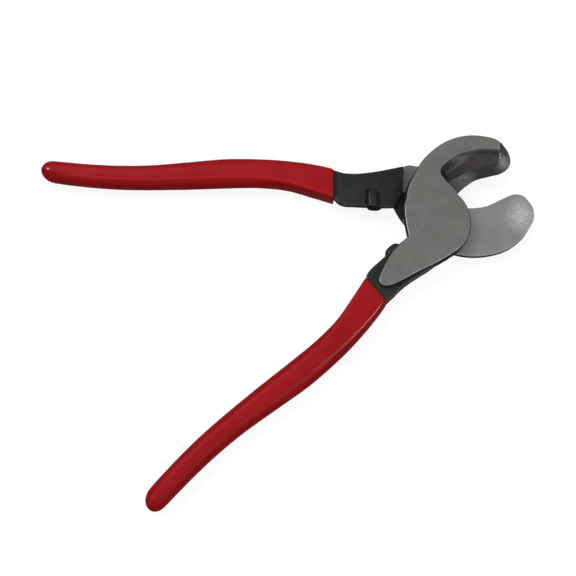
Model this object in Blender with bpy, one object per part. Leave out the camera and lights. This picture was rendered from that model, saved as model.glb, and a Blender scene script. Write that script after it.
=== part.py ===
"""Hand cable cutter: two forged halves that cross at a riveted lap joint.

The hook half lies on top of the blade half. Each half is drawn in the same way: jaw towards +X,
handle towards -X and -Y, its outer face up, and the tool closed. The blade half is then turned
over about X, so that its outer face is the one the tool rests on. World frame: the pivot axis is
Z, the origin lies on the pivot axis in the resting face, and +X runs along the bisector of the
handles towards the jaws.
"""
import math

import bmesh
import bpy
from mathutils import Vector

MM = 0.001

# Driving dimensions, in millimetres and degrees.
HALF_OPENING = 20.0         # each half is turned this far from closed in the modelled pose
JOINT_THICKNESS = 14.0      # both halves together at the pivot
GAP = 0.3                   # clearance between pieces that touch
MID = JOINT_THICKNESS / 2   # height of the plane where the two halves meet
FACE = MID + GAP / 2        # inner face of a half, drawn outer face up
NECK_BOTTOM = 2.5
NECK_TOP = JOINT_THICKNESS - NECK_BOTTOM
SHOULDER_X = -14.2          # the full-height neck ends on this line
EDGE_LAND = 0.35            # thickness left at a cutting edge
RIVET_RADIUS = 5.0
RIVET_HEAD_RADIUS = 7.0
RIVET_HEAD_HEIGHT = 2.5
RIVET_SIDES = 40
RIB_TOP = 13.0              # height of the stop lug's rib over the neck
LUG_FACE_Y = -GAP / 2       # stop faces of the two halves meet on the centre line
COLLAR_X = -48.7            # open end of a grip
GRIP_WALL = 1.5
GRIP_HALF_THICKNESS = 6.6
GRIP_TIP_X = -195.0
TIP_LENGTH = 7.0            # stretch over which a grip's tip rounds off
TIP_SHARES = (0.0, 0.35, 0.62, 0.82, 0.94, 0.99)   # of that length, at each ring of the tip
TANG_X = -44.0              # the tang starts inside the neck
SECTION_POWER = 2.7         # squareness of a grip's oval section
SECTION_SIDES = 20
STEP = 1.6                  # spacing of the points along a curved outline
FINE_STEP = 0.5             # spacing where a curve is only sampled
RING_STEP = 7.0             # spacing of the rings along a handle
JOIN_DISTANCE = 0.2         # points of an outline nearer than this are one

# Centre line and width of a handle at stations along X: (x, y, width).
HANDLE_STATIONS = [
    (-44.0, -11.6, 17.4),
    (COLLAR_X, -13.2, 17.2),
    (-60.0, -16.3, 15.8),
    (-72.0, -18.8, 14.4),
    (-86.0, -20.0, 14.2),
    (-102.0, -20.1, 14.5),
    (-122.0, -19.1, 13.4),
    (-142.0, -18.4, 12.0),
    (-162.0, -19.0, 11.5),
    (-180.0, -20.8, 11.1),
    (GRIP_TIP_X, -22.9, 10.6),
]

# Inner edge of the neck, from the collar to the shoulder, then the shoulder and the outer edge.
NECK_INNER = [(COLLAR_X + GAP, -5.4), (-46.4, -3.9), (-43.6, -3.1), (-38.0, -2.8), (-27.0, -2.4),
              (-19.2, -2.3)]
NECK_SHOULDER = [(-19.2, -2.3), (SHOULDER_X, -8.0)]
NECK_END = [(SHOULDER_X, -8.0), (SHOULDER_X, -22.4)]
NECK_OUTER = [(SHOULDER_X, -22.4), (-18.0, -21.7), (-28.4, -19.9), (-37.6, -19.1), (-43.0, -19.5),
              (COLLAR_X + GAP, -20.6)]
# Height and inset of the neck's outline, widest halfway up.
NECK_LEVELS = [(NECK_BOTTOM, 1.3), (NECK_BOTTOM + 1.5, 0.3), (MID, 0.0), (NECK_TOP - 1.5, 0.3),
               (NECK_TOP, 1.3)]

# Stop lug on the neck's inner edge, and the round-ended rib that runs from it across the neck.
LUG = [(-33.2, -5.0), (-33.2, -1.8), (-32.0, LUG_FACE_Y), (-27.4, LUG_FACE_Y), (-26.0, -1.8),
       (-26.0, -5.0)]
LUG_LEVELS = [(NECK_BOTTOM + 0.6, 1.2), (MID - 0.8, 0.0), (MID + 0.8, 0.0), (NECK_TOP - 0.6, 1.2)]
RIB_START_Y = -0.9
RIB_END = (-29.6, -7.2)     # centre of its round end
RIB_RADIUS = 2.4
RIB_BOTTOM = JOINT_THICKNESS - RIB_TOP
RIB_LEVELS = [(RIB_BOTTOM, 0.5), (RIB_BOTTOM + 0.8, 0.0), (MID, 0.0)]

# Tongue of the thick joint plate where it runs out on the neck, and the round of the joint.
TONGUE = [(-19.7, -3.3), (-26.0, -3.7), (-31.0, -4.3), (-42.6, -8.9), (-45.3, -11.3), (-45.3, -13.9),
          (-43.0, -16.1), (-28.1, -19.8), (-17.0, -22.4), (-11.0, -23.4)]
JOINT_ARC_CENTRE = (-6.2, -4.9)
JOINT_ARC_RADIUS = 18.9
THROAT = (12.8, -1.8)       # where the cutting edges start

HOOK_OUTER = [(46.8, 3.0), (45.6, 6.9), (38.0, 15.6), (29.0, 20.4), (19.0, 21.8), (6.7, 20.0),
              (-3.0, 15.7), (-10.0, 9.4), (-14.2, 4.1), (-17.2, 0.2), (-19.7, -3.3)]
HOOK_EDGE = [(*THROAT, FACE), (17.0, -1.3, FACE), (21.0, -1.3, FACE), (26.0, -2.0, FACE),
             (33.1, -5.2, FACE), (37.4, -7.3, FACE), (41.0, -7.8, FACE), (44.1, -7.1, 7.6),
             (46.2, -4.8, 8.6), (47.1, -1.4, 10.3), (46.8, 3.0, 12.6)]
HOOK_RIDGE = [(12.8, 5.3, 9.9), (17.0, 4.9, 10.0), (21.0, 4.1, 10.0), (25.6, 2.9, 10.0),
              (34.4, -1.0, 10.1), (39.6, -2.8, 10.5), (41.8, -1.9, 11.3), (43.3, 0.0, 12.4),
              (45.3, 3.2, 14.4)]
HOOK_POCKET = [(12.8, 7.4), (13.4, 10.4), (15.2, 12.2), (18.5, 12.8), (25.3, 12.3), (31.0, 10.5),
               (37.0, 6.9), (42.2, 1.8), (41.8, -1.6), (39.6, -2.7), (34.4, -0.9), (25.6, 3.0),
               (17.0, 5.0), (13.6, 5.6)]
POCKET_FLOOR = 9.3

BLADE_OUTER = [(49.0, 2.2), (46.6, 9.0), (42.5, 14.7), (34.0, 20.7), (21.5, 23.5), (10.0, 22.3),
               (-3.0, 16.2), (-9.5, 11.0), (-13.0, 7.7), (-16.2, 3.4), (-19.7, -3.3)]
BLADE_EDGE = [(*THROAT, FACE), (17.5, -1.0, FACE), (21.0, -1.1, FACE), (26.0, -1.9, FACE),
              (34.0, -5.6, FACE), (39.8, -7.9, FACE), (44.0, -7.2, FACE), (47.4, -3.2, 8.0),
              (49.0, 2.2, 10.5)]
BLADE_RIDGE = [(12.8, 7.6, 14.3), (17.5, 7.6, 14.3), (21.0, 7.3, 14.3), (26.0, 6.2, 14.3),
               (34.0, 2.0, 14.3), (38.4, 0.8, 14.3), (41.6, 2.0, 14.3), (44.2, 5.2, 14.3),
               (46.4, 9.2, 15.0)]
BEVEL_RULES = 26            # straight lines that a bevel's surface runs through, from ridge to edge

# Height and inset of the two plates' outlines: a fine edge, and a slope along the blade's spine.
HOOK_LEVELS = [(FACE, 0.0), (JOINT_THICKNESS - 0.4, 0.1), (JOINT_THICKNESS, 0.5)]
BLADE_LEVELS = [(FACE, 0.0), (JOINT_THICKNESS - 3.8, 0.1), (JOINT_THICKNESS, 2.0)]
CLEAR = 2.0                 # how far a cutter stands out of the solid that it cuts
POCKET_LEVELS = [(POCKET_FLOOR, 0.8), (POCKET_FLOOR + 0.8, 0.0), (JOINT_THICKNESS + CLEAR, 0.0)]


def spline(points, step=STEP):
    """Points along a centripetal Catmull-Rom curve through the given points."""
    pts = [Vector(p) for p in points]
    pts = [2 * pts[0] - pts[1]] + pts + [2 * pts[-1] - pts[-2]]
    curve = []
    for p0, p1, p2, p3 in zip(pts, pts[1:], pts[2:], pts[3:]):
        t1 = max((p1 - p0).length ** 0.5, 1e-6)
        t2 = t1 + max((p2 - p1).length ** 0.5, 1e-6)
        t3 = t2 + max((p3 - p2).length ** 0.5, 1e-6)
        count = max(1, round((p2 - p1).length / step))
        for i in range(count):
            t = t1 + (t2 - t1) * i / count
            a1 = p0 * (t1 - t) / t1 + p1 * t / t1
            a2 = p1 * (t2 - t) / (t2 - t1) + p2 * (t - t1) / (t2 - t1)
            a3 = p2 * (t3 - t) / (t3 - t2) + p3 * (t - t2) / (t3 - t2)
            b1 = a1 * (t2 - t) / t2 + a2 * t / t2
            b2 = a2 * (t3 - t) / (t3 - t1) + a3 * (t - t1) / (t3 - t1)
            curve.append(b1 * (t2 - t) / (t2 - t1) + b2 * (t - t1) / (t2 - t1))
    return curve + [pts[-2]]


def arc(centre, radius, start, end, step=STEP):
    """Points on an arc from one angle to another, in degrees."""
    count = max(2, round(abs(math.radians(end - start)) * radius / step))
    angles = [math.radians(start + (end - start) * i / count) for i in range(count + 1)]
    return [Vector((centre[0] + radius * math.cos(a), centre[1] + radius * math.sin(a))) for a in angles]


def outline(*runs):
    """Closed anticlockwise outline from runs of points; runs that meet share one point."""
    points = []
    for run in runs:
        for p in run:
            p = Vector(p[:2])
            if not points or (p - points[-1]).length > JOIN_DISTANCE:
                points.append(p)
    if (points[0] - points[-1]).length < JOIN_DISTANCE:
        points.pop()
    area = sum(a.x * b.y - b.x * a.y for a, b in zip(points, points[1:] + points[:1]))
    return points if area > 0 else points[::-1]


def inset(points, distance):
    """The outline moved inwards by a small distance."""
    moved = []
    for before, point, after in zip(points[-1:] + points[:-1], points, points[1:] + points[:1]):
        along = (point - before).normalized() + (after - point).normalized()
        moved.append(point + distance * Vector((-along.y, along.x)).normalized())
    return moved


def make_object(name, rings, side, cutter=False):
    """Closed solid through rings of points, with its two end rings capped."""
    bm = bmesh.new()
    loops = []
    for ring in rings:
        loops.append([bm.verts.new(side.place(p)) for p in ring])
    for lower, upper in zip(loops, loops[1:]):
        count = len(lower)
        for i in range(count):
            j = (i + 1) % count
            bm.faces.new((lower[i], lower[j], upper[j], upper[i]))
    bm.faces.new(loops[0][::-1])
    bm.faces.new(loops[-1])
    bmesh.ops.recalc_face_normals(bm, faces=bm.faces)
    mesh = bpy.data.meshes.new(name)
    bm.to_mesh(mesh)
    bm.free()
    obj = bpy.data.objects.new(name, mesh)
    bpy.context.scene.collection.objects.link(obj)
    obj.parent = side.empty
    if cutter:
        obj.hide_render = True
        obj.display_type = 'WIRE'
    return obj


def combine(target, tool, operation):
    """Join a tool to the target, or cut it out, with an exact Boolean."""
    modifier = target.modifiers.new(tool.name, 'BOOLEAN')
    modifier.operation = operation
    modifier.solver = 'EXACT'
    modifier.object = tool


def plate_rings(points, levels):
    """Rings of one outline at several heights, each level a (z, inset) pair."""
    return [[(*p, z) for p in inset(points, distance)] for z, distance in levels]


def material(name, color, roughness, metallic):
    mat = bpy.data.materials.new(name)
    mat.use_nodes = True
    shader = mat.node_tree.nodes['Principled BSDF']
    shader.inputs['Base Color'].default_value = (*color, 1.0)
    shader.inputs['Roughness'].default_value = roughness
    shader.inputs['Metallic'].default_value = metallic
    return mat


class Side:
    """One body of the tool: an empty on the pivot axis, and which way up its pieces are drawn."""

    def __init__(self, name, angle, turned_over):
        self.empty = bpy.data.objects.new(name, None)
        bpy.context.scene.collection.objects.link(self.empty)
        self.empty.rotation_euler.z = math.radians(angle)
        self.turned_over = turned_over

    def place(self, p):
        x, y, z = p
        if self.turned_over:
            y, z = -y, JOINT_THICKNESS - z
        return Vector((x, y, z)) * MM


def handle_section(x, centre_y, half_width, half_thickness):
    """Oval section of a handle in the plane of one x."""
    ring = []
    for i in range(SECTION_SIDES):
        a = 2 * math.pi * (i + 0.5) / SECTION_SIDES
        c, s = math.cos(a), math.sin(a)
        y = centre_y + half_width * math.copysign(abs(c) ** (2 / SECTION_POWER), c)
        z = MID + half_thickness * math.copysign(abs(s) ** (2 / SECTION_POWER), s)
        ring.append((x, y, z))
    return ring


def handle_rings(start_x, end_x, wall):
    """Rings of the handle's outer shape less a wall, from start_x to a rounded tip at end_x."""
    fine = spline(HANDLE_STATIONS, FINE_STEP)
    half_thickness = GRIP_HALF_THICKNESS - wall
    between = [s.x for s in spline(HANDLE_STATIONS, RING_STEP)
               if end_x + TIP_LENGTH < s.x < start_x - JOIN_DISTANCE]
    places = [(x, 1.0) for x in [start_x] + between]
    places += [(end_x + TIP_LENGTH * (1 - u), (1 - u * u) ** 0.5) for u in TIP_SHARES]
    rings = []
    for x, shrink in places:
        s = min(fine, key=lambda p: abs(p.x - x))
        rings.append(handle_section(x, s.y, (s.z / 2 - wall) * shrink, half_thickness * shrink))
    return rings


def build_neck(name, side):
    """Neck from the shoulder to the collar, with its tang inside the grip."""
    points = outline(spline(NECK_INNER), NECK_SHOULDER, NECK_END, spline(NECK_OUTER))
    neck = make_object(name + '_neck', plate_rings(points, NECK_LEVELS), side, cutter=True)
    wall = GRIP_WALL + GAP
    rings = handle_rings(TANG_X, GRIP_TIP_X + wall, wall)
    tang = make_object(name + '_tang', rings, side, cutter=True)
    return neck, tang


def build_lug(name, side):
    """Stop lug and its rib."""
    lug = make_object(name + '_lug', plate_rings(outline(LUG), LUG_LEVELS), side, cutter=True)
    x, y = RIB_END
    left, right = x - RIB_RADIUS, x + RIB_RADIUS
    points = outline([(left, RIB_START_Y), (left, y)], arc(RIB_END, RIB_RADIUS, 180, 360),
                     [(right, y), (right, RIB_START_Y)])
    rib = make_object(name + '_rib', plate_rings(points, RIB_LEVELS), side, cutter=True)
    return lug, rib


def build_bevel(name, ridge, edge, side):
    """Cutter for the ground bevel between a ridge and the cutting edge, open at its outer side."""
    lines = []
    for points in (ridge, edge):
        fine = spline(points, FINE_STEP)
        length = [0.0]
        for a, b in zip(fine, fine[1:]):
            length.append(length[-1] + (b - a).length)
        wanted = [length[-1] * i / (BEVEL_RULES - 1) for i in range(BEVEL_RULES)]
        lines.append([fine[min(range(len(fine)), key=lambda k, w=w: abs(length[k] - w))] for w in wanted])
    rings = []
    roof = JOINT_THICKNESS + 1.5 * CLEAR
    for r, e in zip(*lines):
        land = e + Vector((0, 0, EDGE_LAND))
        slope = (land - r) / (land - r).xy.length
        inner = r - slope
        outer = land + slope * 1.5
        rings.append([inner, land, outer, (outer.x, outer.y, roof), (inner.x, inner.y, roof)])
    return make_object(name + '_bevel', rings, side, cutter=True)


def build_rivet_hole(name, side):
    """Clearance hole through the joint, countersunk in the outer face."""
    widening = (RIVET_HEAD_RADIUS - RIVET_RADIUS) / RIVET_HEAD_HEIGHT
    levels = ((FACE - CLEAR, RIVET_RADIUS), (JOINT_THICKNESS - RIVET_HEAD_HEIGHT, RIVET_RADIUS),
              (JOINT_THICKNESS + CLEAR, RIVET_HEAD_RADIUS + widening * CLEAR))
    rings = [circle_ring(radius + GAP, z) for z, radius in levels]
    return make_object(name + '_rivet_hole', rings, side, cutter=True)


def circle_ring(radius, z):
    turns = [2 * math.pi * i / RIVET_SIDES for i in range(RIVET_SIDES)]
    return [(radius * math.cos(a), radius * math.sin(a), z) for a in turns]


def build_half(name, outer, edge, ridge, levels, side, steel):
    """A forged half: joint plate with its jaw, neck, tang and stop lug as one solid."""
    edge_plan = [p[:2] for p in edge]
    points = outline(spline(edge_plan), spline(outer), spline(TONGUE),
                     arc(JOINT_ARC_CENTRE, JOINT_ARC_RADIUS, -104.0, 6.0))
    half = make_object(name, plate_rings(points, levels), side)
    for tool in (*build_neck(name, side), *build_lug(name, side)):
        combine(half, tool, 'UNION')
    combine(half, build_bevel(name, ridge, edge, side), 'DIFFERENCE')
    combine(half, build_rivet_hole(name, side), 'DIFFERENCE')
    half.data.materials.append(steel)
    return half


def build_grip(name, side, vinyl):
    """Dipped sleeve over the tang: a rounded tip and a cavity open at the collar."""
    outside = handle_rings(COLLAR_X, GRIP_TIP_X, 0.0)
    inside = handle_rings(COLLAR_X, GRIP_TIP_X + GRIP_WALL, GRIP_WALL)
    grip = make_object(name, outside[::-1] + inside, side)
    grip.data.shade_smooth()
    grip.data.materials.append(vinyl)
    return grip


def build_rivet(side, steel):
    """Rivet with countersunk heads, ground flush with both outer faces."""
    low, high = RIVET_HEAD_HEIGHT, JOINT_THICKNESS - RIVET_HEAD_HEIGHT
    levels = ((0.0, RIVET_HEAD_RADIUS), (low, RIVET_RADIUS), (high, RIVET_RADIUS),
              (JOINT_THICKNESS, RIVET_HEAD_RADIUS))
    rivet = make_object('pivot_rivet', [circle_ring(radius, z) for z, radius in levels], side)
    rivet.data.shade_smooth()
    rivet.data.set_sharp_from_angle(angle=math.radians(25))
    rivet.data.materials.append(steel)
    return rivet


def main():
    for obj in list(bpy.data.objects):
        bpy.data.objects.remove(obj)
    ground_steel = material('ground_steel', (0.17, 0.17, 0.16), 0.42, 0.9)
    vinyl = material('red_vinyl', (0.36, 0.012, 0.018), 0.3, 0.0)
    hook_side = Side('hook_side', HALF_OPENING, turned_over=False)
    blade_side = Side('blade_side', -HALF_OPENING, turned_over=True)

    hook = build_half('hook_half', HOOK_OUTER, HOOK_EDGE, HOOK_RIDGE, HOOK_LEVELS, hook_side, ground_steel)
    pocket = plate_rings(outline(spline(HOOK_POCKET + HOOK_POCKET[:1])), POCKET_LEVELS)
    combine(hook, make_object('hook_half_pocket', pocket, hook_side, cutter=True), 'DIFFERENCE')
    build_half('blade_half', BLADE_OUTER, BLADE_EDGE, BLADE_RIDGE, BLADE_LEVELS, blade_side, ground_steel)
    build_rivet(blade_side, ground_steel)
    build_grip('hook_half_grip', hook_side, vinyl)
    build_grip('blade_half_grip', blade_side, vinyl)


main()
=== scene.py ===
"""Looks of the hand cable cutter: fine meshes, materials, light and camera around the CAD frame.

Both halves are drawn as in the CAD, in millimetres: outer face up, jaw towards +X, handle
towards -X and -Y, closed. The blade half is then turned over about X, and each half is swung
open about the pivot. A half is a relief: one plan of triangles with a top and a bottom height.
"""

import math

import bpy
import numpy as np
from mathutils import Matrix, Vector, geometry, noise


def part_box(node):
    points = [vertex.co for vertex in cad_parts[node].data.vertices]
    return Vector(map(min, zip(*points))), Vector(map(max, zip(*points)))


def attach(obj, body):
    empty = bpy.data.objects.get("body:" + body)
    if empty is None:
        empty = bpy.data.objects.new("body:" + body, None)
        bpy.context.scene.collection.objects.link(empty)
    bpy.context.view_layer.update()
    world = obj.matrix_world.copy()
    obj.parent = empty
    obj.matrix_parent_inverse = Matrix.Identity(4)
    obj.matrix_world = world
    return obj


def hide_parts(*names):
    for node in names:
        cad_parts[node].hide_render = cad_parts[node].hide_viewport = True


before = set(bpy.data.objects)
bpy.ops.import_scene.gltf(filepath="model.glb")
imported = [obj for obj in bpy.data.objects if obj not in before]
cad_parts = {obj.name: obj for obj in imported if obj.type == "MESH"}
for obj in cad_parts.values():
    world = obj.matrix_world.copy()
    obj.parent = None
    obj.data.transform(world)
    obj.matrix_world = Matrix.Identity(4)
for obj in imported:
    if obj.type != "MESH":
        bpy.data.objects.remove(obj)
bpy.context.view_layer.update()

MM = 0.001
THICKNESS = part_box("pivot_rivet")[1].z / MM  # both halves together at the pivot
HALF_OPENING = 20.0  # degrees that each half is swung from closed
GAP = 0.3
MID = THICKNESS / 2
FACE = MID + GAP / 2  # inner face of a half
EDGE_LAND = 0.35  # thickness left at a cutting edge
WALL = 0.12  # run of a steep wall in plan
STEP = 0.6  # spacing of points along an outline
FINE_STEP = 0.4  # and along a small outline
MESH_PITCH = 1.1  # spacing of points on open faces
TOUCH = 0.001  # a point this near an outline is on it
THINNEST = 0.02  # least thickness of a relief
CORNER_POINTS = 6  # points round a corner of a grip's section
RIM_HIGHLIGHT_REACH = 0.35  # width of the painted highlight line along the blade's rim

COLLAR_X = -48.7
NECK_END_X = -52.0  # the neck runs a little way into its grip
GRIP_TIP_X = -195.0
SHOULDER_X = -14.2
RIVET_RADIUS = 5.0
RIVET_HEAD_RADIUS = 7.0
RIVET_HEAD_HEIGHT = 2.5
RIVET_SEAM = 0.012  # hairline round the rivet's head

# Plan outlines, within 1 mm of the CAD's.
NECK_INNER = [(NECK_END_X, -6.7), (-48.4, -5.4), (-46.4, -3.9), (-43.6, -3.1), (-38.0, -2.8),
              (-27.0, -2.4), (-19.2, -2.3)]
NECK_SHOULDER = (SHOULDER_X - 0.4, -9.0)  # a slanted step runs from here to the inner edge
NECK_OUTER = [(SHOULDER_X, -22.4), (-18.0, -21.7), (-28.4, -19.9), (-37.6, -19.1), (-43.0, -19.5),
              (-48.4, -20.6), (NECK_END_X, -21.4)]
LUG = [(-33.2, -5.0), (-32.9, -2.6), (-32.2, -1.6), (-31.5, -0.8), (-30.6, -0.5), (-27.6, -0.25),
       (-26.3, -0.5), (-25.2, -1.1), (-24.4, -2.2), (-24.0, -5.0)]
RIB_CENTRE_X = -29.6
RIB_RADIUS = 2.4
RIB_ENDS = (-0.7, -7.2)  # y of the rib's start and of its round end's centre
RIB_END_STEP = 0.35  # spacing of points round the rib's end
TONGUE = [(-19.7, -3.3), (-26.0, -3.7), (-31.0, -4.3), (-42.6, -8.9), (-45.3, -11.3), (-45.3, -13.9),
          (-43.0, -16.1), (-28.1, -19.8)]
JOINT_ARC_CENTRE = (-6.2, -4.9)
JOINT_ARC_RADIUS = 18.9
JOINT_ARC_END = 6.0  # angle at which the arc ends, at the throat
THROAT = (12.8, -1.8)

HOOK_OUTER = [(46.8, 3.0), (45.7, 7.0), (38.2, 15.8), (29.1, 20.7), (19.0, 22.1), (6.5, 20.4),
              (-3.5, 16.4), (-10.6, 10.0), (-14.8, 4.7), (-17.4, 0.6), (-19.5, -3.1)]
HOOK_EDGE = [(*THROAT, FACE), (17.0, -1.3, FACE), (21.0, -1.3, FACE), (26.0, -2.0, FACE),
             (33.1, -5.2, FACE), (37.4, -7.3, FACE), (41.0, -7.8, FACE), (44.1, -7.1, 7.6),
             (46.2, -4.8, 8.6), (47.1, -1.4, 10.3), (46.8, 3.0, 12.6)]
HOOK_RIDGE = [(12.8, 5.3, 9.9), (17.0, 4.9, 10.0), (21.0, 4.1, 10.0), (25.6, 2.9, 10.0),
              (34.4, -1.0, 10.1), (39.6, -2.8, 10.5), (41.8, -1.9, 11.3), (43.3, 0.0, 12.4),
              (45.3, 3.2, 14.4)]
HOOK_POCKET = [(12.8, 7.4), (13.4, 10.4), (15.2, 12.2), (18.5, 12.8), (25.3, 12.3), (31.0, 10.5),
               (37.0, 6.9), (40.6, 3.9), (42.4, 1.9), (42.7, 1.2), (42.5, 0.4), (41.7, -1.4), (39.6, -2.7),
               (34.4, -0.9), (25.6, 3.0), (17.0, 5.0), (13.6, 5.6)]
POCKET_FLOOR = 9.3
POCKET_RINGS = [0, 0.06, 0.2, 0.42, 0.7, 1.1, 1.7, 2.4, 3.2, 4.1]  # insets of the lines in the pocket

BLADE_OUTER = [(49.0, 2.2), (48.5, 5.5), (46.6, 9.0), (42.5, 14.7), (34.0, 20.7), (21.5, 23.5),
               (10.0, 22.3), (-3.0, 16.2), (-9.5, 11.0), (-13.0, 7.7), (-16.2, 3.4), (-19.7, -3.3)]
BLADE_EDGE = [(*THROAT, FACE), (17.5, -1.0, FACE), (21.0, -1.1, FACE), (26.0, -1.9, FACE),
              (34.0, -5.6, FACE), (39.8, -7.9, FACE), (44.0, -7.2, FACE), (47.4, -3.2, 8.0),
              (48.6, -0.6, 9.2), (49.0, 2.2, 10.5)]
BLADE_RIDGE = [(12.8, 7.6, 14.3), (17.5, 7.6, 14.3), (21.0, 7.3, 14.3), (26.0, 6.2, 14.3),
               (34.0, 2.0, 14.3), (38.4, 0.8, 14.3), (41.6, 2.0, 14.3), (44.2, 5.2, 14.3),
               (46.4, 9.2, 15.0)]
BLACK_CORNER = [(-14.6, 4.6), (-12.3, 1.8)]  # the blade's face is black beyond this line, by the neck
BEVEL_START = -0.2  # a bevel reaches this share of its width past its ridge

# How far a neck's inner side and its outer side lie outside the CAD's, at NECK_PLACES along X.
NECK_PLACES = [COLLAR_X, -44.0, -24.0, SHOULDER_X]
HOOK_NECK_SPREAD = [0.0, -0.3, -0.3, -0.3], [0.5, 1.3, 1.3, 0.0]
BLADE_NECK_SPREAD = [0.35, 1.3, 1.6, 1.4], [-0.3, -0.9, -0.7, -0.5]

# Edge profiles: distance in from an outline, and height. Neck, lug and rib heights are over MID.
# In the open tool a neck is crisp on its upper side and tapered on its lower side.
NECK_HALF_THICKNESS = 4.5
CRISP = [(0.0, 1.8), (0.08, 2.6), (0.15, 3.3), (0.25, 3.9), (0.4, 4.25), (0.6, 4.42),
         (0.8, NECK_HALF_THICKNESS)]
TAPERED = [(0.0, -1.2), (0.4, 0.0), (0.9, 1.2), (1.5, 2.5), (2.1, 3.5), (2.7, 4.2),
           (3.3, NECK_HALF_THICKNESS)]
STEP_PROFILE = [(0.0, 4.1), (0.15, 4.35), (0.4, NECK_HALF_THICKNESS)]
SLANT_PROFILE = [(0.0, 2.2), (2.5, 2.75), (5.0, 3.28), (7.5, 3.78), (9.5, 4.14), (11.0, 4.35), (12.5, 4.46),
                 (14.0, NECK_HALF_THICKNESS)]
LUG_PROFILE = [(0.0, 0.5), (0.25, 1.6), (0.6, 2.4), (1.1, 2.9), (1.6, 3.1)]
RIB_PROFILE = [(0.0, 4.3), (0.2, 5.0), (0.5, 5.6), (0.9, 5.9), (1.4, 6.0)]
EDGE_HIGHLIGHT_INSET = 0.3  # a painted highlight line runs this far inside a neck's edges
EDGE_HIGHLIGHT_REACH = 0.15
RIB_GROOVE = [(0.0, 0.55), (0.4, 0.5), (0.8, 0.3), (1.2, 0.08), (1.6, 0.0)]
RIM_PROFILE = [(0.0, THICKNESS - 0.9), (0.15, THICKNESS - 0.5), (0.35, THICKNESS - 0.16),
               (0.6, THICKNESS - 0.03), (0.8, THICKNESS)]
RIM_BLACK = 0.25  # below this depth the rounded edge is left black
DRAFT_WIDTH = 0.9  # run of the slanted wall at the back of the hook half
DRAFT_DROP = 6.0
SPINE_PROFILE = [(0.0, THICKNESS - 3.9), (0.12, THICKNESS - 3.7), (0.9, THICKNESS - 2.2),
                 (1.9, THICKNESS - 0.15), (2.1, THICKNESS - 0.03), (2.4, THICKNESS)]
SPINE_WIDTH = 2.0  # the blade's slanted black edge
FACE_ROUND = [(0.0, 0.22), (0.1, 0.08), (0.22, 0.02), (0.35, 0.0)]


def spline(points, step=STEP):
    """Points along a centripetal Catmull-Rom curve through the given points."""
    pts = [Vector(p) for p in points]
    pts = [2 * pts[0] - pts[1]] + pts + [2 * pts[-1] - pts[-2]]
    curve = []
    for p0, p1, p2, p3 in zip(pts, pts[1:], pts[2:], pts[3:]):
        t1 = max((p1 - p0).length ** 0.5, 1e-6)
        t2 = t1 + max((p2 - p1).length ** 0.5, 1e-6)
        t3 = t2 + max((p3 - p2).length ** 0.5, 1e-6)
        count = max(1, round((p2 - p1).length / step))
        for i in range(count):
            t = t1 + (t2 - t1) * i / count
            a1 = p0 * (t1 - t) / t1 + p1 * t / t1
            a2 = p1 * (t2 - t) / (t2 - t1) + p2 * (t - t1) / (t2 - t1)
            a3 = p2 * (t3 - t) / (t3 - t2) + p3 * (t - t2) / (t3 - t2)
            b1 = a1 * (t2 - t) / t2 + a2 * t / t2
            b2 = a2 * (t3 - t) / (t3 - t1) + a3 * (t - t1) / (t3 - t1)
            curve.append(b1 * (t2 - t) / (t2 - t1) + b2 * (t - t1) / (t2 - t1))
    return np.array(curve + [pts[-2]])


def straight(points, step=STEP):
    """Points along straight runs through the given points."""
    runs = []
    for a, b in zip(np.array(points)[:-1], np.array(points)[1:]):
        count = max(1, round(np.linalg.norm(b - a) / step))
        runs += [a + (b - a) * i / count for i in range(count)]
    return np.array(runs + [points[-1]])


def arc(centre, radius, start, end, step=STEP):
    """Points on an arc from one angle to another, in degrees."""
    count = max(2, round(abs(math.radians(end - start)) * radius / step))
    a = np.radians(np.linspace(start, end, count + 1))
    return np.stack([centre[0] + radius * np.cos(a), centre[1] + radius * np.sin(a)], 1)


def to_segments(q, a, b, batch=4000):
    """Distance from each point to the nearest of the segments a-b, and where along it."""
    nearest = np.full(len(q), 1e9)
    index = np.zeros(len(q), int)
    share = np.zeros(len(q))
    run = b - a
    size = (run * run).sum(1)
    for k in range(0, len(q), batch):
        part = q[k:k + batch, None, :] - a[None]
        t = np.clip((part * run).sum(2) / size, 0, 1)
        gap = np.linalg.norm(part - t[..., None] * run, axis=2)
        best = gap.argmin(1)
        rows = np.arange(len(best))
        nearest[k:k + batch] = gap[rows, best]
        index[k:k + batch] = best
        share[k:k + batch] = t[rows, best]
    return nearest, index, share


class Line:
    """An open curve in plan."""

    def __init__(self, *runs):
        self.points = join(runs)
        self.length = np.concatenate([[0], np.cumsum(np.linalg.norm(np.diff(self.points, axis=0), axis=1))])

    def distance(self, q):
        return to_segments(q, self.points[:-1], self.points[1:])[0]

    def along(self, q):
        """How far along the curve its nearest point to each q lies."""
        _, index, share = to_segments(q, self.points[:-1], self.points[1:])
        return self.length[index] + share * (self.length[index + 1] - self.length[index])


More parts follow.
